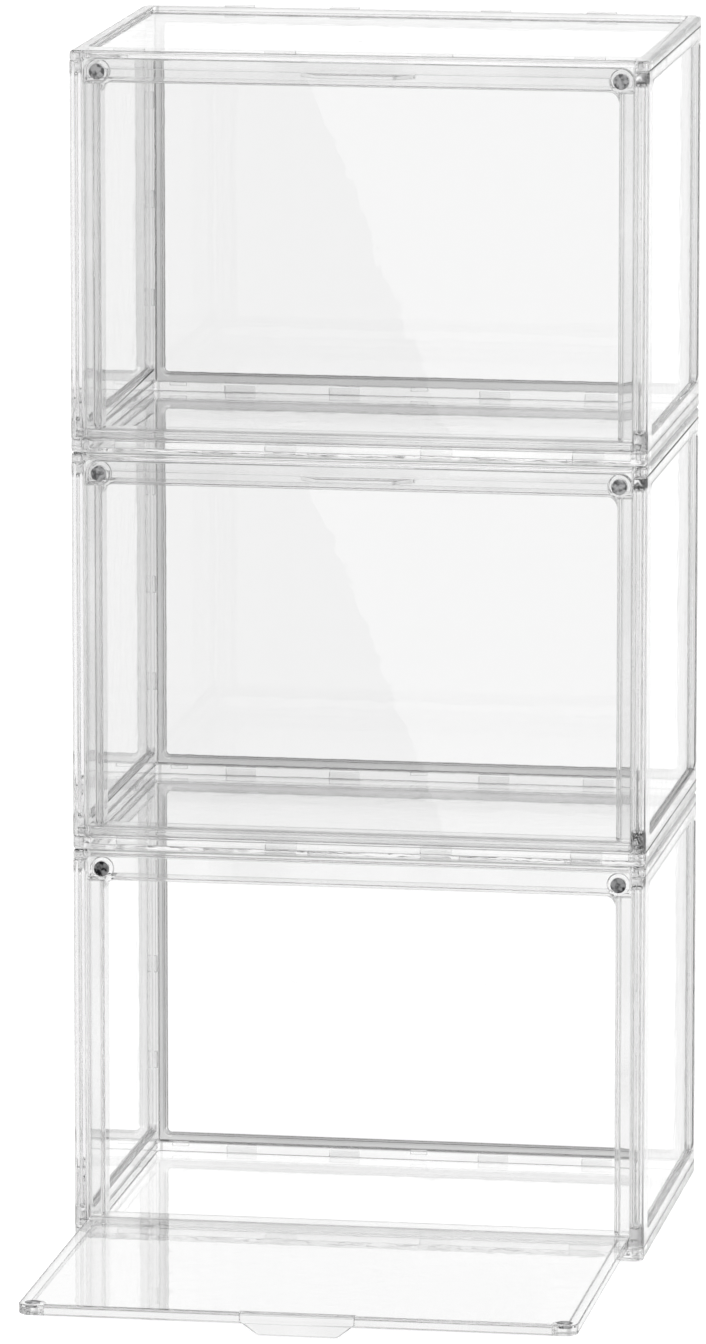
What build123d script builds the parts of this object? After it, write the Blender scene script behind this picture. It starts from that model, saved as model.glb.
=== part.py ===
from build123d import *
import os

# Clear stacking storage box with a drop-down front door, three boxes high.
# Frame: X across the width, -Y towards the doors, +Z up. The origin is the
# centre of the lowest box's footprint, on the surface it stands on.
# All sizes are in millimetres.

# ---- One box, overall ----
BOX_WIDTH = 340.0
BOX_DEPTH = 240.0
BOX_HEIGHT = 236.0
CORNER_RADIUS = 5.0        # vertical outer corners, seen from above
TOP_ROUND = 2.5            # rounding round the upper edge of the top panel
FOOT_ROUND = 1.5           # rounding round the lower edge of the base panel

# ---- Stack ----
LEVELS = ("lower", "middle", "upper")
OPEN_LEVELS = ("lower",)   # boxes whose door stands open at rest
STACK_GAP = 0.2            # joint line between one box and the next

# ---- Panels ----
JOINT_GAP = 0.2            # joint line between two panels
WEB_THICKNESS = 2.0        # thin clear centre of every panel
SIDE_THICKNESS = 8.0       # frame of a side panel, across the width
BACK_THICKNESS = 8.0       # frame of the back panel, front to back
BASE_RIM_HEIGHT = 7.6
TOP_RIM_HEIGHT = 6.0
LIP_THICKNESS = 4.0        # front lip of the top panel, over the door
ROOF_DROP = 2.5            # roof web below the top panel's rim
SIDE_RAIL = 8.0            # upper and lower rails of a side panel
SIDE_REAR_STILE = 8.0      # rear upright of a side panel
BACK_RAIL = 4.5            # rails and stiles of the back panel
WEB_INSET = 3.0            # web of a side or back panel, in from the outside
RECESS_CORNER = 4.0        # corner radius of each panel's thin centre

# ---- Portal that the door closes on: header, sill and two ledges ----
PORTAL_DEPTH = 15.0
PORTAL_WALL = 3.0          # front wall of header, sill and ledges
RETURN_WALL = 2.0          # flange that runs back from the portal's inner edge
HEADER_DROP = 19.0         # lower edge of the header, down from the box top
SILL_HEIGHT = 13.5         # top of the sill, up from the box underside
LEDGE_WIDTH = 10.0
PORTAL_CORNER = 6.0        # rounded upper corners of the front opening

# ---- Door ----
DOOR_THICKNESS = 6.0
DOOR_RIM = 6.0
DOOR_CORNER = 8.0
DOOR_SIDE_GAP = 0.5
DOOR_TOP_GAP = 0.4
DOOR_BOTTOM_GAP = 0.4
DOOR_FACE_GAP = 0.4        # closed door to the portal behind it
HINGE_PIN_RADIUS = 2.0
HINGE_PIN_LENGTH = 4.0
HINGE_CLEARANCE = 0.05     # radial, between pin and bore
HINGE_END_CLEARANCE = 0.5

# ---- Pull tab ----
TAB_ROOT_WIDTH = 66.0
TAB_TIP_WIDTH = 46.0
TAB_THICKNESS = 2.5
TAB_ROUND = 5.0
TAB_EMBED = 0.5            # tab let into the door web behind it

# ---- Magnets ----
MAGNET_DIAMETER = 9.0
DOOR_MAGNET_THICKNESS = 2.0
FRAME_MAGNET_THICKNESS = 3.0
MAGNET_CLEARANCE = 0.1
MAGNET_BOSS_WALL = 2.2

# ---- Corner pegs of the side panels ----
PEG_SIZE = 5.6
PEG_ROUND = 1.2
PEG_HEIGHT = 4.2
PEG_CLEARANCE = 0.15
PEG_INSET_FRONT = 6.0      # peg centre, in from the front and back faces

# ---- Tongues that join the panels ----
TONGUE_LENGTH = 10.0
TONGUE_THICKNESS = 3.0
TONGUE_HEIGHT = 2.6
TONGUE_CLEARANCE = 0.2
BACK_TONGUE_EDGE = 22.0    # outer tongues, in from the outside of the box
SIDE_TONGUE_SPREAD = 50.0  # side tongues, either side of the middle
BACK_SIDE_TONGUE_RISE = 60.0

# ---- Stacking tabs and the slots they enter ----
STACK_TAB_LENGTH = 18.0
STACK_TAB_THICKNESS = 3.0
STACK_TAB_HEIGHT = 1.2
STACK_SLOT_DEPTH = 5.8
STACK_CLEARANCE = 0.25
STACK_FRONT_INSET = 6.0    # centre line of the front tabs, from the front
FRONT_TAB_EDGE = 35.0      # outer front tabs, in from the side
BACK_TAB_EDGE = 60.0       # outer back tabs, in from the side
INNER_TAB_SPREAD = 46.0    # inner tabs, either side of the middle

# ---- Places that follow from the sizes ----
half_width = BOX_WIDTH / 2
half_depth = BOX_DEPTH / 2
front_y = -half_depth
inner_half = half_width - SIDE_THICKNESS
back_inner_y = half_depth - BACK_THICKNESS
panel_bottom = BASE_RIM_HEIGHT + JOINT_GAP
panel_top = BOX_HEIGHT - TOP_RIM_HEIGHT - JOINT_GAP

portal_front_y = front_y + DOOR_THICKNESS + DOOR_FACE_GAP
portal_wall_y = portal_front_y + PORTAL_WALL
portal_back_y = portal_front_y + PORTAL_DEPTH
header_half = inner_half - JOINT_GAP
header_bottom = BOX_HEIGHT - HEADER_DROP
ledge_inner = inner_half - LEDGE_WIDTH

hinge_y = front_y + DOOR_THICKNESS / 2
hinge_z = BASE_RIM_HEIGHT + DOOR_BOTTOM_GAP + DOOR_THICKNESS / 2
door_width = 2 * (inner_half - DOOR_SIDE_GAP)
door_top = BOX_HEIGHT - LIP_THICKNESS - DOOR_TOP_GAP
door_reach = door_top - hinge_z
tab_reach = hinge_z        # so that the tab rests on the floor when open
magnet_x = door_width / 2 - DOOR_CORNER
magnet_z = door_top - DOOR_CORNER
magnet_radius = MAGNET_DIAMETER / 2
boss_radius = magnet_radius + MAGNET_BOSS_WALL

peg_x = half_width - SIDE_THICKNESS / 2
peg_front_y = front_y + PEG_INSET_FRONT
peg_back_y = half_depth - PEG_INSET_FRONT
tongue_x = half_width - SIDE_THICKNESS / 2
tongue_y = half_depth - BACK_THICKNESS / 2
back_tongue_x = half_width - BACK_TONGUE_EDGE
back_tongue_z = (panel_bottom + panel_top) / 2
front_tab_y = front_y + STACK_FRONT_INSET
back_tab_y = half_depth - BACK_THICKNESS / 2
front_tab_x = half_width - FRONT_TAB_EDGE
back_tab_x = half_width - BACK_TAB_EDGE
stack_tabs = [
    (-front_tab_x, front_tab_y),
    (-INNER_TAB_SPREAD, front_tab_y),
    (INNER_TAB_SPREAD, front_tab_y),
    (front_tab_x, front_tab_y),
    (-back_tab_x, back_tab_y),
    (-INNER_TAB_SPREAD, back_tab_y),
    (INNER_TAB_SPREAD, back_tab_y),
    (back_tab_x, back_tab_y),
]
pegs = [
    (-peg_x, peg_front_y),
    (peg_x, peg_front_y),
    (-peg_x, peg_back_y),
    (peg_x, peg_back_y),
]
side_tongues = [
    (side * tongue_x, spread * SIDE_TONGUE_SPREAD)
    for side in (-1, 1)
    for spread in (-1, 1)
]
back_tongues = [(-back_tongue_x, tongue_y), (0, tongue_y), (back_tongue_x, tongue_y)]
back_side_tongue_heights = [
    back_tongue_z - BACK_SIDE_TONGUE_RISE,
    back_tongue_z,
    back_tongue_z + BACK_SIDE_TONGUE_RISE,
]

os.makedirs("parts", exist_ok=True)


def block(x_range, y_range, z_range, mode=Mode.ADD):
    """A plain block between three pairs of limits, for the builder in use."""
    size = [high - low for low, high in (x_range, y_range, z_range)]
    middle = [(low + high) / 2 for low, high in (x_range, y_range, z_range)]
    with Locations(tuple(middle)):
        Box(*size, mode=mode)


def build_base(z0):
    """Floor of a box, with its rim, front lip and the sill behind the door."""
    with BuildPart() as base:
        with BuildSketch(Plane.XY.offset(z0)):
            RectangleRounded(BOX_WIDTH, BOX_DEPTH, CORNER_RADIUS)
        extrude(amount=BASE_RIM_HEIGHT)
        fillet(base.faces().sort_by(Axis.Z)[0].outer_wire().edges(), FOOT_ROUND)

        # Sill, then the hollow behind its front wall and the floor's recess.
        block(
            (-header_half, header_half),
            (portal_front_y, portal_back_y),
            (z0, z0 + SILL_HEIGHT),
        )
        with BuildSketch(Plane.XY.offset(z0 + WEB_THICKNESS)):
            with Locations((0, (portal_back_y + back_inner_y) / 2)):
                RectangleRounded(
                    2 * inner_half, back_inner_y - portal_back_y, RECESS_CORNER
                )
        extrude(amount=SILL_HEIGHT, mode=Mode.SUBTRACT)
        block(
            (-header_half + RETURN_WALL, header_half - RETURN_WALL),
            (portal_wall_y, portal_back_y + RECESS_CORNER),
            (z0 + WEB_THICKNESS, z0 + SILL_HEIGHT - RETURN_WALL),
            mode=Mode.SUBTRACT,
        )

        # Sockets for the side panels' pegs, and slots for the tongues.
        with BuildSketch(Plane.XY.offset(z0 + BASE_RIM_HEIGHT)):
            with Locations(*pegs):
                RectangleRounded(
                    PEG_SIZE + 2 * PEG_CLEARANCE,
                    PEG_SIZE + 2 * PEG_CLEARANCE,
                    PEG_ROUND,
                )
        extrude(amount=-(PEG_HEIGHT + PEG_CLEARANCE - JOINT_GAP), mode=Mode.SUBTRACT)
        with BuildSketch(Plane.XY.offset(z0 + BASE_RIM_HEIGHT)):
            with Locations(*side_tongues):
                Rectangle(
                    TONGUE_THICKNESS + 2 * TONGUE_CLEARANCE,
                    TONGUE_LENGTH + 2 * TONGUE_CLEARANCE,
                )
            with Locations(*back_tongues):
                Rectangle(
                    TONGUE_LENGTH + 2 * TONGUE_CLEARANCE,
                    TONGUE_THICKNESS + 2 * TONGUE_CLEARANCE,
                )
        extrude(amount=-TONGUE_HEIGHT, mode=Mode.SUBTRACT)

        # Slots in the underside for the stacking tabs of the box below.
        with BuildSketch(Plane.XY.offset(z0)):
            with Locations(*stack_tabs):
                Rectangle(
                    STACK_TAB_LENGTH + 2 * STACK_CLEARANCE,
                    STACK_TAB_THICKNESS + 2 * STACK_CLEARANCE,
                )
        extrude(amount=STACK_SLOT_DEPTH, mode=Mode.SUBTRACT)
    return base.part


def build_top(z0):
    """Roof of a box, with its rim, front lip, header and stacking tabs."""
    top_z = z0 + BOX_HEIGHT
    rim_z = top_z - TOP_RIM_HEIGHT
    header_z = z0 + header_bottom
    with BuildPart() as top:
        with BuildSketch(Plane.XY.offset(rim_z)):
            RectangleRounded(BOX_WIDTH, BOX_DEPTH, CORNER_RADIUS)
        extrude(amount=TOP_RIM_HEIGHT)
        fillet(top.faces().sort_by(Axis.Z)[-1].outer_wire().edges(), TOP_ROUND)

        # Header behind the door, with a rounded gusset under each end.
        with BuildSketch(Plane.XZ.offset(-portal_front_y)) as header:
            with Locations((0, (header_z + rim_z) / 2)):
                Rectangle(2 * header_half, rim_z - header_z)
            for side in (-1, 1):
                corner_x = side * (ledge_inner - JOINT_GAP - PORTAL_CORNER / 2)
                with Locations((corner_x, header_z - PORTAL_CORNER / 2)):
                    Rectangle(PORTAL_CORNER, PORTAL_CORNER)
                round_x = side * (ledge_inner - JOINT_GAP - PORTAL_CORNER)
                with Locations((round_x, header_z - PORTAL_CORNER)):
                    Circle(PORTAL_CORNER, mode=Mode.SUBTRACT)
        extrude(amount=-PORTAL_DEPTH)

        # Recess above the roof web, the hollow under it and the door's space.
        with BuildSketch(Plane.XY.offset(top_z)):
            with Locations((0, (portal_back_y + back_inner_y) / 2)):
                RectangleRounded(
                    2 * inner_half, back_inner_y - portal_back_y, RECESS_CORNER
                )
        extrude(amount=-ROOF_DROP, mode=Mode.SUBTRACT)
        with BuildSketch(Plane.XY.offset(rim_z)):
            with Locations((0, (portal_back_y + back_inner_y) / 2)):
                RectangleRounded(
                    2 * inner_half, back_inner_y - portal_back_y, RECESS_CORNER
                )
        extrude(
            amount=TOP_RIM_HEIGHT - ROOF_DROP - WEB_THICKNESS, mode=Mode.SUBTRACT
        )
        block(
            (-inner_half, inner_half),
            (front_y - CORNER_RADIUS, portal_front_y),
            (rim_z, top_z - LIP_THICKNESS),
            mode=Mode.SUBTRACT,
        )
        block(
            (-header_half + RETURN_WALL, header_half - RETURN_WALL),
            (portal_wall_y, portal_back_y + RECESS_CORNER),
            (header_z + RETURN_WALL, top_z - LIP_THICKNESS),
            mode=Mode.SUBTRACT,
        )

        # Bosses, kept inside the header's outline, and pockets for the magnets.
        header_height = top_z - LIP_THICKNESS - header_z
        with BuildSketch(Plane.XZ.offset(-portal_front_y)):
            with Locations((-magnet_x, z0 + magnet_z), (magnet_x, z0 + magnet_z)):
                Circle(boss_radius)
            with Locations((0, header_z + header_height / 2)):
                Rectangle(2 * header_half, header_height, mode=Mode.INTERSECT)
        extrude(amount=-(FRAME_MAGNET_THICKNESS + MAGNET_BOSS_WALL))
        with BuildSketch(Plane.XZ.offset(-portal_front_y)):
            with Locations((-magnet_x, z0 + magnet_z), (magnet_x, z0 + magnet_z)):
                Circle(magnet_radius + MAGNET_CLEARANCE)
        extrude(
            amount=-(FRAME_MAGNET_THICKNESS + 2 * MAGNET_CLEARANCE),
            mode=Mode.SUBTRACT,
        )

        # Sockets for the pegs and slots for the tongues, from below.
        with BuildSketch(Plane.XY.offset(rim_z)):
            with Locations(*pegs):
                RectangleRounded(
                    PEG_SIZE + 2 * PEG_CLEARANCE,
                    PEG_SIZE + 2 * PEG_CLEARANCE,
                    PEG_ROUND,
                )
        extrude(amount=PEG_HEIGHT + PEG_CLEARANCE - JOINT_GAP, mode=Mode.SUBTRACT)
        with BuildSketch(Plane.XY.offset(rim_z)):
            with Locations(*side_tongues):
                Rectangle(
                    TONGUE_THICKNESS + 2 * TONGUE_CLEARANCE,
                    TONGUE_LENGTH + 2 * TONGUE_CLEARANCE,
                )
            with Locations(*back_tongues):
                Rectangle(
                    TONGUE_LENGTH + 2 * TONGUE_CLEARANCE,
                    TONGUE_THICKNESS + 2 * TONGUE_CLEARANCE,
                )
        extrude(amount=TONGUE_HEIGHT, mode=Mode.SUBTRACT)

        # Stacking tabs on the rim.
        with BuildSketch(Plane.XY.offset(top_z)):
            with Locations(*stack_tabs):
                Rectangle(STACK_TAB_LENGTH, STACK_TAB_THICKNESS)
        extrude(amount=STACK_TAB_HEIGHT)
    return top.part


def build_right_side(z0):
    """Right side panel, with its front post, ledge, pegs and tongues."""
    low = z0 + panel_bottom
    high = z0 + panel_top
    web_y = (portal_back_y + half_depth - SIDE_REAR_STILE) / 2
    web_depth = half_depth - SIDE_REAR_STILE - portal_back_y
    web_height = high - low - 2 * SIDE_RAIL
    with BuildPart() as side:
        block((inner_half, half_width), (front_y, half_depth), (low, high))
        fillet(
            side.edges().filter_by(Axis.Z).group_by(Axis.X)[-1], CORNER_RADIUS
        )

        # Thin clear centre, recessed from outside and from inside.
        with BuildSketch(Plane.YZ.offset(half_width)):
            with Locations((web_y, (low + high) / 2)):
                RectangleRounded(web_depth, web_height, RECESS_CORNER)
        extrude(amount=-WEB_INSET, mode=Mode.SUBTRACT)
        with BuildSketch(Plane.YZ.offset(inner_half)):
            with Locations((web_y, (low + high) / 2)):
                RectangleRounded(web_depth, web_height, RECESS_CORNER)
        extrude(
            amount=SIDE_THICKNESS - WEB_INSET - WEB_THICKNESS, mode=Mode.SUBTRACT
        )

        # Ledge behind the door and its return flange.
        ledge_z = (z0 + SILL_HEIGHT + JOINT_GAP, z0 + header_bottom - JOINT_GAP)
        block((ledge_inner, inner_half), (portal_front_y, portal_wall_y), ledge_z)
        block(
            (ledge_inner, ledge_inner + RETURN_WALL),
            (portal_wall_y, portal_back_y),
            ledge_z,
        )

        # Pegs and tongues, down into the base and up into the top.
        with BuildSketch(Plane.XY.offset(low)):
            with Locations((peg_x, peg_front_y), (peg_x, peg_back_y)):
                RectangleRounded(PEG_SIZE, PEG_SIZE, PEG_ROUND)
        extrude(amount=-PEG_HEIGHT)
        with BuildSketch(Plane.XY.offset(high)):
            with Locations((peg_x, peg_front_y), (peg_x, peg_back_y)):
                RectangleRounded(PEG_SIZE, PEG_SIZE, PEG_ROUND)
        extrude(amount=PEG_HEIGHT)
        with BuildSketch(Plane.XY.offset(low)):
            with Locations(
                (tongue_x, -SIDE_TONGUE_SPREAD), (tongue_x, SIDE_TONGUE_SPREAD)
            ):
                Rectangle(TONGUE_THICKNESS, TONGUE_LENGTH)
        extrude(amount=-TONGUE_HEIGHT)
        with BuildSketch(Plane.XY.offset(high)):
            with Locations(
                (tongue_x, -SIDE_TONGUE_SPREAD), (tongue_x, SIDE_TONGUE_SPREAD)
            ):
                Rectangle(TONGUE_THICKNESS, TONGUE_LENGTH)
        extrude(amount=TONGUE_HEIGHT)

        # Slots in the rear upright for the back panel's side tongues.
        with BuildSketch(Plane.YZ.offset(inner_half)):
            for height in back_side_tongue_heights:
                with Locations((tongue_y, z0 + height)):
                    Rectangle(
                        TONGUE_THICKNESS + 2 * TONGUE_CLEARANCE,
                        TONGUE_LENGTH + 2 * TONGUE_CLEARANCE,
                    )
        extrude(amount=TONGUE_HEIGHT, mode=Mode.SUBTRACT)

        # Bore that the door's hinge pin turns in.
        with BuildSketch(Plane.YZ.offset(inner_half)):
            with Locations((hinge_y, z0 + hinge_z)):
                Circle(HINGE_PIN_RADIUS + HINGE_CLEARANCE)
        extrude(amount=HINGE_PIN_LENGTH + HINGE_END_CLEARANCE, mode=Mode.SUBTRACT)
    return side.part


def build_left_side(right_side):
    """Left side panel: the right one mirrored across the middle of the box."""
    with BuildPart() as side:
        mirror(right_side, about=Plane.YZ)
    return side.part


def build_back(z0):
    """Back panel, with tongues into the base, the top and both sides."""
    low = z0 + panel_bottom
    high = z0 + panel_top
    centre_z = (low + high) / 2
    back_half = inner_half - JOINT_GAP
    web_width = 2 * (back_half - BACK_RAIL)
    web_height = high - low - 2 * BACK_RAIL
    with BuildPart() as back:
        block((-back_half, back_half), (back_inner_y, half_depth), (low, high))
        with BuildSketch(Plane.XZ.offset(-half_depth)):
            with Locations((0, centre_z)):
                RectangleRounded(web_width, web_height, RECESS_CORNER)
        extrude(amount=WEB_INSET, mode=Mode.SUBTRACT)
        with BuildSketch(Plane.XZ.offset(-back_inner_y)):
            with Locations((0, centre_z)):
                RectangleRounded(web_width, web_height, RECESS_CORNER)
        extrude(
            amount=-(BACK_THICKNESS - WEB_INSET - WEB_THICKNESS),
            mode=Mode.SUBTRACT,
        )
        with BuildSketch(Plane.XY.offset(low)):
            with Locations(*back_tongues):
                Rectangle(TONGUE_LENGTH, TONGUE_THICKNESS)
        extrude(amount=-TONGUE_HEIGHT)
        with BuildSketch(Plane.XY.offset(high)):
            with Locations(*back_tongues):
                Rectangle(TONGUE_LENGTH, TONGUE_THICKNESS)
        extrude(amount=TONGUE_HEIGHT)
        with BuildSketch(Plane.YZ.offset(-back_half)):
            for height in back_side_tongue_heights:
                with Locations((tongue_y, z0 + height)):
                    Rectangle(TONGUE_THICKNESS, TONGUE_LENGTH)
        extrude(amount=-TONGUE_HEIGHT)
        with BuildSketch(Plane.YZ.offset(back_half)):
            for height in back_side_tongue_heights:
                with Locations((tongue_y, z0 + height)):
                    Rectangle(TONGUE_THICKNESS, TONGUE_LENGTH)
        extrude(amount=TONGUE_HEIGHT)
    return back.part


def door_plane(z0, is_open):
    """Middle plane of a door: X across, Y from the hinge up to the free edge."""
    outward = (0, 0, -1) if is_open else (0, -1, 0)
    return Plane(
        origin=(0, hinge_y, z0 + hinge_z), x_dir=(1, 0, 0), z_dir=outward
    )


def build_door(z0, is_open):
    """Door with its rim, hinge barrel and pins, magnet bosses and pull tab."""
    middle = door_plane(z0, is_open)
    inner_face = middle.offset(-DOOR_THICKNESS / 2)
    web_face = middle.offset(WEB_THICKNESS - DOOR_THICKNESS / 2)
    window_low = DOOR_THICKNESS / 2
    window_high = door_reach - DOOR_RIM
    window_width = door_width - 2 * DOOR_RIM
    magnet_reach = magnet_z - hinge_z
    hinge_axis = Plane(origin=middle.origin, x_dir=(0, 1, 0), z_dir=(1, 0, 0))
    tab_plane = Plane(
        origin=middle.from_local_coords((0, window_high, 0)),
        x_dir=middle.x_dir,
        z_dir=middle.y_dir,
    )
    tab_back = DOOR_THICKNESS / 2 - WEB_THICKNESS + TAB_EMBED
    tab_root = -DOOR_THICKNESS / 2
    with BuildPart() as door:
        with BuildSketch(inner_face) as outline:
            with Locations((0, door_reach / 2)):
                Rectangle(door_width, door_reach)
            fillet(outline.vertices().group_by(Axis.Y)[-1], DOOR_CORNER)
        extrude(amount=DOOR_THICKNESS)

        # Round hinge edge and the pins at its ends.
        with BuildSketch(hinge_axis):
            Circle(DOOR_THICKNESS / 2)
        extrude(amount=door_width / 2, both=True)
        with BuildSketch(hinge_axis):
            Circle(HINGE_PIN_RADIUS)
        extrude(amount=door_width / 2 + HINGE_PIN_LENGTH, both=True)

        # Thin clear centre, recessed from the front, with the bosses left in.
        with BuildSketch(web_face):
            with Locations((0, (window_low + window_high) / 2)):
                RectangleRounded(
                    window_width, window_high - window_low, RECESS_CORNER
                )
            with Locations((-magnet_x, magnet_reach), (magnet_x, magnet_reach)):
                Circle(boss_radius, mode=Mode.SUBTRACT)
        extrude(amount=DOOR_THICKNESS, mode=Mode.SUBTRACT)

        # Pockets for the door magnets, from the inner face.
        with BuildSketch(inner_face):
            with Locations((-magnet_x, magnet_reach), (magnet_x, magnet_reach)):
                Circle(magnet_radius + MAGNET_CLEARANCE)
        extrude(
            amount=DOOR_MAGNET_THICKNESS + 2 * MAGNET_CLEARANCE,
            mode=Mode.SUBTRACT,
        )

        # Pull tab under the upper rim, standing out to the front.
        with BuildSketch(tab_plane) as tab:
            with BuildLine():
                Polyline(
                    (-TAB_ROOT_WIDTH / 2, tab_back),
                    (-TAB_ROOT_WIDTH / 2, tab_root),
                    (-TAB_TIP_WIDTH / 2, -tab_reach),
                    (TAB_TIP_WIDTH / 2, -tab_reach),
                    (TAB_ROOT_WIDTH / 2, tab_root),
                    (TAB_ROOT_WIDTH / 2, tab_back),
                    close=True,
                )
            make_face()
            fillet(tab.vertices().group_by(Axis.Y)[0], TAB_ROUND)
        extrude(amount=-TAB_THICKNESS)
    return door.part


def build_door_magnet(z0, is_open, side):
    """Disc let into the door's inner face, at one upper corner."""
    inner_face = door_plane(z0, is_open).offset(-DOOR_THICKNESS / 2)
    with BuildPart() as magnet:
        with BuildSketch(inner_face):
            with Locations((side * magnet_x, magnet_z - hinge_z)):
                Circle(magnet_radius)
        extrude(amount=DOOR_MAGNET_THICKNESS)
    return magnet.part


def build_frame_magnet(z0, side):
    """Disc let into the header's front face, behind a door magnet."""
    with BuildPart() as magnet:
        with BuildSketch(Plane.XZ.offset(-portal_front_y)):
            with Locations((side * magnet_x, z0 + magnet_z)):
                Circle(magnet_radius)
        extrude(amount=-FRAME_MAGNET_THICKNESS)
    return magnet.part


def write(part, name):
    """Label one finished piece and write it as a STEP file."""
    part.label = name
    export_step(part, f"parts/{name}.step")


for number, level in enumerate(LEVELS):
    level_z = number * (BOX_HEIGHT + STACK_GAP)
    door_is_open = level in OPEN_LEVELS
    right_side = build_right_side(level_z)
    write(build_base(level_z), f"{level}_base_panel")
    write(build_top(level_z), f"{level}_top_panel")
    write(right_side, f"{level}_right_side_panel")
    write(build_left_side(right_side), f"{level}_left_side_panel")
    write(build_back(level_z), f"{level}_back_panel")
    write(build_door(level_z, door_is_open), f"{level}_door")
    for side, hand in ((-1, "left"), (1, "right")):
        write(
            build_door_magnet(level_z, door_is_open, side),
            f"{level}_{hand}_door_magnet",
        )
        write(build_frame_magnet(level_z, side), f"{level}_{hand}_frame_magnet")
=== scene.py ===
import bpy, bmesh, math
import numpy as np
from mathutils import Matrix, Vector


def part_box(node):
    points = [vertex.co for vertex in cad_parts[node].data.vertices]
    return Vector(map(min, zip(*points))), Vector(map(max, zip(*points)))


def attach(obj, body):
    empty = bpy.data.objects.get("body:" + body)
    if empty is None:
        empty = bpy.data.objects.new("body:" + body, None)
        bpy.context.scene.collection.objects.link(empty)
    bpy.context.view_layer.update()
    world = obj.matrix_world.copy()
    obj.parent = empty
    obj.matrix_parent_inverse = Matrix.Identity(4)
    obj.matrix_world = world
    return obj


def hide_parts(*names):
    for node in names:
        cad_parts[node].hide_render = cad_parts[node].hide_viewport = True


# Three clear plastic boxes, one on another, with drop-down magnetic doors.
# Metres, X across the width, -Y towards the doors, +Z up.

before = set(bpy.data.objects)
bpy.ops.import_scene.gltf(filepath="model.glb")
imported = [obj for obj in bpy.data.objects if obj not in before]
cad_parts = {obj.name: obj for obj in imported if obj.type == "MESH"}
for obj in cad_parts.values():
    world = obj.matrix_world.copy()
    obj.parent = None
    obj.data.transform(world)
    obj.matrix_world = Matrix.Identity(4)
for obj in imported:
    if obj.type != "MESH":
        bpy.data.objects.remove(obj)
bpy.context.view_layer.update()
LEVELS = ("lower", "middle", "upper")
EDGE_ROUND = 0.0007        # soft edge break that the mould leaves
BROAD_ROUND = 0.0013       # the same where a rim has room for it
MAGNET_ROUND = 0.0003      # edge break of the plated discs
SHARP = math.radians(40)   # faces that turn by more than this meet in an edge
SHORT_RUN = 0.03           # smaller runs of sharp edges on a panel stay sharp
WELD = 2e-6                # points nearer than this are one point
CENTRE_AREA = 0.02         # planes of a piece larger than this are thin centres
DETAIL_SIZE = 0.013        # faces smaller than this are tongues, pegs and bosses
RIM_CLEAR = 0.95           # share of a rim's light that goes through
PLASTIC_IOR = 1.49


# ---------------------------------------------------------------- materials
def new_material(name):
    material = bpy.data.materials.new(name)
    material.use_nodes = True
    tree = material.node_tree
    for node in list(tree.nodes):
        tree.nodes.remove(node)
    out = tree.nodes.new("ShaderNodeOutputMaterial")
    return material, tree, out


def grey(value):
    return (value, value, value, 1)


def noise(tree, place, scale, detail):
    node = tree.nodes.new("ShaderNodeTexNoise")
    node.inputs["Scale"].default_value = scale
    node.inputs["Detail"].default_value = detail
    tree.links.new(place.outputs["Object"], node.inputs["Vector"])
    return node.outputs["Fac"]


def between(tree, low, high, factor):
    """A number that runs from low to high with the factor."""
    node = tree.nodes.new("ShaderNodeMapRange")
    node.inputs["To Min"].default_value = low
    node.inputs["To Max"].default_value = high
    tree.links.new(factor, node.inputs["Value"])
    return node.outputs["Result"]


def colour_ramp(tree, factor, stops):
    """A colour that follows the factor through (position, colour) stops."""
    node = tree.nodes.new("ShaderNodeValToRGB")
    elements = node.color_ramp.elements
    elements[0].position, elements[0].color = stops[0]
    elements[1].position, elements[1].color = stops[-1]
    for position, colour in stops[1:-1]:
        elements.new(position).color = colour
    tree.links.new(factor, node.inputs["Fac"])
    return node.outputs["Color"]


def bumped(tree, shader, height, strength, distance):
    bump = tree.nodes.new("ShaderNodeBump")
    bump.inputs["Strength"].default_value = strength
    bump.inputs["Distance"].default_value = distance
    tree.links.new(height, bump.inputs["Height"])
    tree.links.new(bump.outputs["Normal"], shader.inputs["Normal"])


def clear_plastic(name, centre_painted_shade, rim_painted_shade):
    """Clear moulded plastic: glassy thin centres and slightly milky rims, its grey a
    painted shade.
    """
    material, tree, out = new_material(name)
    shader = tree.nodes.new("ShaderNodeBsdfPrincipled")
    shader.inputs["IOR"].default_value = PLASTIC_IOR
    place = tree.nodes.new("ShaderNodeTexCoord")
    rim = tree.nodes.new("ShaderNodeAttribute")
    rim.attribute_name = "rim"
    cloud = noise(tree, place, 14.0, 3.0)
    # Painted shade: a grey, deeper in the rims, with faint clouds in it, standing in
    # for the shade that refraction of the surroundings gives the clear plastic.
    painted_shade_tone = tree.nodes.new("ShaderNodeMix")
    painted_shade_tone.data_type = "RGBA"
    painted_shade_tone.inputs["A"].default_value = grey(centre_painted_shade)
    clouds = colour_ramp(tree, cloud, ((0.35, grey(rim_painted_shade - 0.05)),
                                       (0.65, grey(rim_painted_shade + 0.03))))
    tree.links.new(clouds, painted_shade_tone.inputs["B"])
    tree.links.new(rim.outputs["Fac"], painted_shade_tone.inputs["Factor"])
    tree.links.new(painted_shade_tone.outputs["Result"], shader.inputs["Base Color"])
    # Rims are a touch milky.
    clear = between(tree, 1.0, RIM_CLEAR, rim.outputs["Fac"])
    tree.links.new(clear, shader.inputs["Transmission Weight"])
    # Polish: a little duller in cloudy patches, most of all on the rims.
    polish = tree.nodes.new("ShaderNodeMix")
    tree.links.new(rim.outputs["Fac"], polish.inputs["Factor"])
    tree.links.new(between(tree, 0.0, 0.01, cloud), polish.inputs["A"])
    tree.links.new(between(tree, 0.0, 0.02, cloud), polish.inputs["B"])
    tree.links.new(polish.outputs["Result"], shader.inputs["Roughness"])
    # Slow waves where the plastic flowed in the mould.
    bumped(tree, shader, noise(tree, place, 55.0, 2.0), 0.12, 0.0004)
    tree.links.new(shader.outputs["BSDF"], out.inputs["Surface"])
    return material


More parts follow.
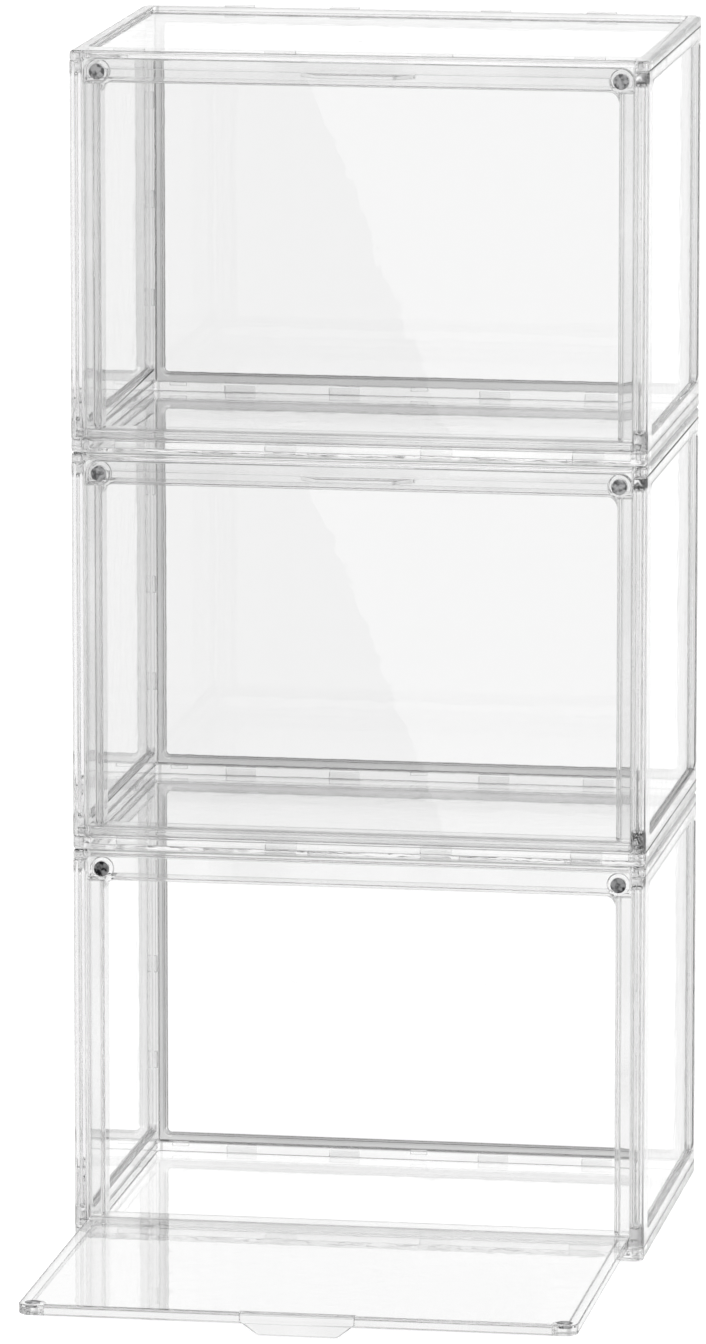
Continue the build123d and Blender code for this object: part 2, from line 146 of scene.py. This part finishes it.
def magnet_metal(name):
    """Plated disc: satin nickel with dark, glossier patches."""
    material, tree, out = new_material(name)
    shader = tree.nodes.new("ShaderNodeBsdfPrincipled")
    shader.inputs["Metallic"].default_value = 1.0
    place = tree.nodes.new("ShaderNodeTexCoord")
    patch = noise(tree, place, 330.0, 4.0)
    plating = colour_ramp(tree, patch, ((0.42, (0.03, 0.03, 0.035, 1)),
                                        (0.60, (0.62, 0.62, 0.63, 1))))
    tree.links.new(plating, shader.inputs["Base Color"])
    tree.links.new(between(tree, 0.22, 0.45, patch), shader.inputs["Roughness"])
    bumped(tree, shader, patch, 0.5, 0.0002)
    tree.links.new(shader.outputs["BSDF"], out.inputs["Surface"])
    return material


# Painted shade: one clear plastic in four copies, each grey set to the shade its part
# shows. The back panel's rims are darkest, and the doors are grey across their centres
# as a painted shade for the dimmer surroundings they mirror.
panel_shaded_plastic = clear_plastic("clear_panel_plastic", 0.985, 0.93)
level_shaded_plastic = clear_plastic("clear_level_plastic", 0.996, 0.965)
back_shaded_plastic = clear_plastic("clear_back_plastic", 0.975, 0.62)
door_shaded_plastic = clear_plastic("clear_door_plastic", 0.87, 0.90)
metal = magnet_metal("magnet_plating")

# Each fixed panel of a box, with its copy of the plastic, greyed by painted shade, and
# its broad rounding, if any.
PANELS = {"base_panel": (level_shaded_plastic, None),
          "top_panel": (level_shaded_plastic, None),
          "left_side_panel": (panel_shaded_plastic, BROAD_ROUND),
          "right_side_panel": (panel_shaded_plastic, BROAD_ROUND),
          "back_panel": (back_shaded_plastic, BROAD_ROUND)}


# ------------------------------------------------------- moulded edge breaks
def sharp_runs(shape):
    """Sharp edges, gathered into runs that share corners."""
    sharp = [e for e in shape.edges
             if len(e.link_faces) == 2 and e.calc_face_angle(0.0) > SHARP]
    at_corner = {}
    for edge in sharp:
        for corner in edge.verts:
            at_corner.setdefault(corner.index, []).append(edge)
    seen, runs = set(), []
    for edge in sharp:
        if edge.index in seen:
            continue
        run, todo = [], [edge]
        seen.add(edge.index)
        while todo:
            here = todo.pop()
            run.append(here)
            for corner in here.verts:
                for other in at_corner[corner.index]:
                    if other.index not in seen:
                        seen.add(other.index)
                        todo.append(other)
        runs.append(run)
    return runs


def extent(places):
    """Diagonal of the box round some points."""
    return math.dist([min(p[i] for p in places) for i in range(3)],
                     [max(p[i] for p in places) for i in range(3)])


def run_size(run):
    return extent([corner.co for edge in run for corner in edge.verts])


def room_for_rounding(shape, wanted, width):
    """The wanted edges that have room for the rounding on both their faces."""
    by_plane = {}
    for face in shape.faces:
        normal = face.normal
        offset = normal.dot(face.verts[0].co)
        key = tuple(round(c, 2) for c in normal) + (round(offset, 5),)
        by_plane.setdefault(key, []).append(face)
    crowded = set()
    for faces in by_plane.values():
        ids, starts, ends, inward = [], [], [], []
        for face in faces:
            for loop in face.loops:
                edge = loop.edge
                if len(edge.link_faces) != 2 or edge.calc_face_angle(0.0) < SHARP:
                    continue
                a, b = loop.vert.co, loop.link_loop_next.vert.co
                inside = face.normal.cross(b - a)
                if inside.length < 1e-12:
                    continue
                ids.append(edge.index)
                starts.append(a[:])
                ends.append(b[:])
                inward.append(inside.normalized()[:])
        if len(ids) < 2:
            continue
        start, end, inside = np.array(starts), np.array(ends), np.array(inward)
        mask = np.array([i in wanted for i in ids])

        def reach(points):
            """Distance of every point from every edge: points by edges."""
            along = end - start
            share = ((points[:, None, :] - start[None]) * along[None]).sum(2)
            share = np.clip(share / np.maximum((along ** 2).sum(1), 1e-16), 0, 1)
            nearest = start[None] + share[..., None] * along[None]
            return np.linalg.norm(points[:, None, :] - nearest, axis=2)

        to_start, to_end = reach(start), reach(end)
        gap = np.minimum(np.minimum(to_start, to_end), np.minimum(to_start.T, to_end.T))
        facing = inside @ inside.T < -0.3
        middle = (start + end) / 2
        ahead = ((middle[None] - middle[:, None]) * inside[:, None]).sum(2) > -1e-6
        facing &= ahead & ahead.T
        # A rounded edge opposite takes its own share of the face.
        need = np.where(mask[None, :], 2.2, 1.2) * width
        tight = (facing & (gap < need)).any(1)
        crowded.update(i for i, t in zip(ids, tight) if t)
    return wanted - crowded


def settled(obj):
    """The object's mesh with its modifiers worked in."""
    bpy.context.view_layer.update()
    depsgraph = bpy.context.evaluated_depsgraph_get()
    return bpy.data.meshes.new_from_object(
        obj.evaluated_get(depsgraph), preserve_all_data_layers=True,
        depsgraph=depsgraph)


def moulded(node, body, material, width, wide=None, segments=3,
            smallest=SHORT_RUN):
    """The CAD node's own shape with its long sharp edges softly rounded."""
    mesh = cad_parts[node].data.copy()
    shape = bmesh.new()
    shape.from_mesh(mesh)
    bmesh.ops.remove_doubles(shape, verts=shape.verts, dist=WELD)
    bmesh.ops.dissolve_limit(shape, angle_limit=math.radians(0.5),
                             verts=shape.verts, edges=shape.edges)
    shape.verts.index_update()
    shape.edges.index_update()
    shape.normal_update()
    weight = shape.edges.layers.float.new("bevel_weight_edge")
    runs = sharp_runs(shape)
    wanted = {edge.index for run in runs if run_size(run) >= smallest for edge in run}
    rounded = room_for_rounding(shape, wanted, width)
    softer = room_for_rounding(shape, rounded, wide) if wide else set()
    for edge in shape.edges:
        edge.smooth = True
        if edge.index in softer:
            edge[weight] = 1.0
        elif edge.index in rounded:
            edge[weight] = width / wide if wide else 1.0
        elif edge.calc_face_angle(0.0) > SHARP:
            edge.smooth = False
    for face in shape.faces:
        face.smooth = True
    shape.to_mesh(mesh)
    shape.free()
    rough_obj = bpy.data.objects.new(node + "_rough", mesh)
    bpy.context.scene.collection.objects.link(rough_obj)
    bevel = rough_obj.modifiers.new("edge break", "BEVEL")
    bevel.width = wide or width
    bevel.segments = segments
    bevel.limit_method = "WEIGHT"
    bevel.use_clamp_overlap = False
    bevel.miter_outer = "MITER_SHARP"
    bevelled = settled(rough_obj)
    shape = bmesh.new()
    shape.from_mesh(bevelled)
    bmesh.ops.dissolve_degenerate(shape, dist=WELD, edges=shape.edges)
    for edge in shape.edges:
        edge.smooth = edge.calc_face_angle(0.0) < SHARP
    shape.to_mesh(bevelled)
    shape.free()
    rough_obj.modifiers.clear()
    rough_obj.data = bevelled
    weigh = rough_obj.modifiers.new("flat faces stay flat", "WEIGHTED_NORMAL")
    weigh.mode = "FACE_AREA"
    weigh.weight = 100
    weigh.keep_sharp = True
    finished = settled(rough_obj)
    bpy.data.objects.remove(rough_obj)
    finished.materials.clear()
    finished.materials.append(material)
    planes = [tuple(round(c, 2) for c in face.normal)
              + (round(face.normal.dot(face.center), 4),) for face in finished.polygons]
    area = {}
    for plane, face in zip(planes, finished.polygons):
        area[plane] = area.get(plane, 0.0) + face.area
    reach = [extent([finished.vertices[v].co for v in face.vertices])
             for face in finished.polygons]
    rim = finished.attributes.new("rim", "FLOAT", "FACE")
    rim.data.foreach_set("value", [
        1.0 if area[plane] <= CENTRE_AREA and size >= DETAIL_SIZE else 0.0
        for plane, size in zip(planes, reach)])
    # No rounding may reach past the piece's own box.
    low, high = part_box(node)
    for vertex in finished.vertices:
        for axis in range(3):
            vertex.co[axis] = min(max(vertex.co[axis], low[axis]), high[axis])
    finished.name = node + "_moulded"
    obj = bpy.data.objects.new(node + "_moulded", finished)
    bpy.context.scene.collection.objects.link(obj)
    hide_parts(node)
    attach(obj, body)
    return obj


for level in LEVELS:
    for panel, (plastic, wide) in PANELS.items():
        moulded(f"{level}_{panel}", "stack", plastic, EDGE_ROUND,
                wide=wide, segments=4)
    moulded(f"{level}_door", f"{level}_door", door_shaded_plastic, EDGE_ROUND)
    for hand in ("left", "right"):
        for part, body in (("door", f"{level}_door"), ("frame", "stack")):
            moulded(f"{level}_{hand}_{part}_magnet", body, metal, MAGNET_ROUND,
                    segments=2, smallest=0.0)

# ------------------------------------------------------------------- stage
BOUNCES = 72               # light runs a long way inside a clear plate
HORIZON_LIGHT, OVERHEAD_LIGHT, GROUND_LIGHT = 1.0, 0.70, 0.72
SOFT_BOXES = 8             # round the compass, one on each eighth
BOX_LIGHT, GAP_LIGHT = 1.08, 0.72
FLOOR_REACH, FLOOR_DROP = 40.0, 0.0004

scene = bpy.context.scene
scene.view_settings.view_transform = "Standard"
scene.cycles.max_bounces = BOUNCES
scene.cycles.transmission_bounces = BOUNCES
scene.cycles.glossy_bounces = BOUNCES


def softbox_world():
    """A ring of soft boxes with dimmer gaps, dim overhead and underneath."""
    world = bpy.data.worlds.new("studio")
    scene.world = world
    world.use_nodes = True
    tree = world.node_tree
    for node in list(tree.nodes):
        tree.nodes.remove(node)
    out = tree.nodes.new("ShaderNodeOutputWorld")
    back = tree.nodes.new("ShaderNodeBackground")
    place = tree.nodes.new("ShaderNodeTexCoord")
    split = tree.nodes.new("ShaderNodeSeparateXYZ")
    tree.links.new(place.outputs["Generated"], split.inputs["Vector"])
    # Height, from 0 straight down to 1 straight up: bright round the horizon.
    height = tree.nodes.new("ShaderNodeMapRange")
    height.inputs["From Min"].default_value = -1.0
    height.inputs["From Max"].default_value = 1.0
    tree.links.new(split.outputs["Z"], height.inputs["Value"])
    bands = colour_ramp(tree, height.outputs["Result"], (
        (0.0, grey(GROUND_LIGHT)), (0.25, grey(GROUND_LIGHT)),
        (0.34, grey(HORIZON_LIGHT)), (0.62, grey(HORIZON_LIGHT)),
        (0.74, grey(OVERHEAD_LIGHT)), (1.0, grey(OVERHEAD_LIGHT))))
    # Round the compass: the soft boxes and the gaps between them.
    turn = tree.nodes.new("ShaderNodeMath")
    turn.operation = "ARCTAN2"
    tree.links.new(split.outputs["X"], turn.inputs[0])
    tree.links.new(split.outputs["Y"], turn.inputs[1])
    often = tree.nodes.new("ShaderNodeMath")
    often.operation = "MULTIPLY"
    often.inputs[1].default_value = SOFT_BOXES
    tree.links.new(turn.outputs[0], often.inputs[0])
    wave = tree.nodes.new("ShaderNodeMath")
    wave.operation = "COSINE"
    tree.links.new(often.outputs[0], wave.inputs[0])
    lobes = tree.nodes.new("ShaderNodeMapRange")
    lobes.interpolation_type = "SMOOTHSTEP"
    lobes.inputs["From Min"].default_value = -1.0
    lobes.inputs["From Max"].default_value = -0.05
    lobes.inputs["To Min"].default_value = GAP_LIGHT
    lobes.inputs["To Max"].default_value = BOX_LIGHT
    tree.links.new(wave.outputs[0], lobes.inputs["Value"])
    both = tree.nodes.new("ShaderNodeMix")
    both.data_type = "RGBA"
    both.blend_type = "MULTIPLY"
    both.inputs["Factor"].default_value = 1.0
    tree.links.new(bands, both.inputs["A"])
    tree.links.new(lobes.outputs["Result"], both.inputs["B"])
    tree.links.new(both.outputs["Result"], back.inputs["Color"])
    tree.links.new(back.outputs["Background"], out.inputs["Surface"])


def pale_floor():
    """A wide pale floor, seen past the plastic but not mirrored in it or through it."""
    mesh = bpy.data.meshes.new("floor")
    mesh.from_pydata([(-FLOOR_REACH, -FLOOR_REACH, 0), (FLOOR_REACH, -FLOOR_REACH, 0),
                      (FLOOR_REACH, FLOOR_REACH, 0), (-FLOOR_REACH, FLOOR_REACH, 0)],
                     [], [(0, 1, 2, 3)])
    floor = bpy.data.objects.new("floor", mesh)
    scene.collection.objects.link(floor)
    floor.location.z = -FLOOR_DROP
    material, tree, out = new_material("floor_pale")
    diffuse = tree.nodes.new("ShaderNodeBsdfDiffuse")
    diffuse.inputs["Color"].default_value = grey(0.8)
    glow = tree.nodes.new("ShaderNodeEmission")
    glow.inputs["Strength"].default_value = 0.75
    both = tree.nodes.new("ShaderNodeAddShader")
    tree.links.new(diffuse.outputs[0], both.inputs[0])
    tree.links.new(glow.outputs[0], both.inputs[1])
    tree.links.new(both.outputs[0], out.inputs["Surface"])
    mesh.materials.append(material)
    floor.visible_glossy = False
    floor.visible_transmission = False


softbox_world()
pale_floor()

# ------------------------------------------------------------------- camera
AZIMUTH, ELEVATION, DISTANCE, LENS = 9.3, 10.25, 6.0, 269.7
FAR_CLIP = 200.0           # past the corners of the floor
target = Vector((-0.0220, 0.0, 0.3250))
az, el = math.radians(AZIMUTH), math.radians(ELEVATION)
back = Vector((math.sin(az) * math.cos(el), -math.cos(az) * math.cos(el), math.sin(el)))
cam_data = bpy.data.cameras.new("camera")
cam_data.lens = LENS
cam_data.sensor_width = 36.0
cam_data.clip_end = FAR_CLIP
cam = bpy.data.objects.new("camera", cam_data)
scene.collection.objects.link(cam)
cam.location = target + back * DISTANCE
cam.rotation_euler = (-back).to_track_quat("-Z", "Y").to_euler()
scene.camera = cam


# -------------------------------------------- flag and cards before the doors
def card(name, corners, brightness):
    """A plain card that is only seen mirrored in the plastic."""
    mesh = bpy.data.meshes.new(name)
    mesh.from_pydata([tuple(c) for c in corners], [], [tuple(range(len(corners)))])
    obj = bpy.data.objects.new(name, mesh)
    scene.collection.objects.link(obj)
    material, tree, out = new_material(name)
    glow = tree.nodes.new("ShaderNodeEmission")
    glow.inputs["Color"].default_value = grey(1.0)
    glow.inputs["Strength"].default_value = brightness
    tree.links.new(glow.outputs[0], out.inputs["Surface"])
    mesh.materials.append(material)
    obj.visible_camera = False
    obj.visible_diffuse = False
    obj.visible_transmission = False
    obj.visible_volume_scatter = False
    obj.visible_shadow = False
    return obj


# The flag darkens what the doors mirror.
FLAG_Y, FLAG_SIDE, FLAG_FOOT, FLAG_TOP, FLAG_LIGHT = -1.3, 2.5, -1.5, 2.5, 0.30
card("dark_flag", [(-FLAG_SIDE, FLAG_Y, FLAG_FOOT), (FLAG_SIDE, FLAG_Y, FLAG_FOOT),
                   (FLAG_SIDE, FLAG_Y, FLAG_TOP), (-FLAG_SIDE, FLAG_Y, FLAG_TOP)],
     FLAG_LIGHT)

# Before each closed door, a card whose mirror image is a bright slanted field,
# narrower at its foot. It is placed by mirroring the camera in the door.
MIRROR_Y, CARD_Y, CARD_LIGHT = -0.115, -0.9, 1.35
FIELD_LEFT, FIELD_LEFT_FOOT, FIELD_RIGHT, FIELD_DROP = -0.033, 0.058, 0.175, 0.002
eye = Vector((cam.location.x, 2 * MIRROR_Y - cam.location.y, cam.location.z))
for level in ("middle", "upper"):
    low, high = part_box(f"{level}_door")
    foot = low.z - FIELD_DROP
    corners = []
    for x, z in ((FIELD_LEFT, high.z), (FIELD_RIGHT, high.z), (FIELD_RIGHT, foot),
                 (FIELD_LEFT_FOOT, foot)):
        on_door = Vector((x, MIRROR_Y, z))
        share = (CARD_Y - eye.y) / (on_door.y - eye.y)
        corners.append(eye + (on_door - eye) * share)
    card(f"{level}_soft_card", corners, CARD_LIGHT)
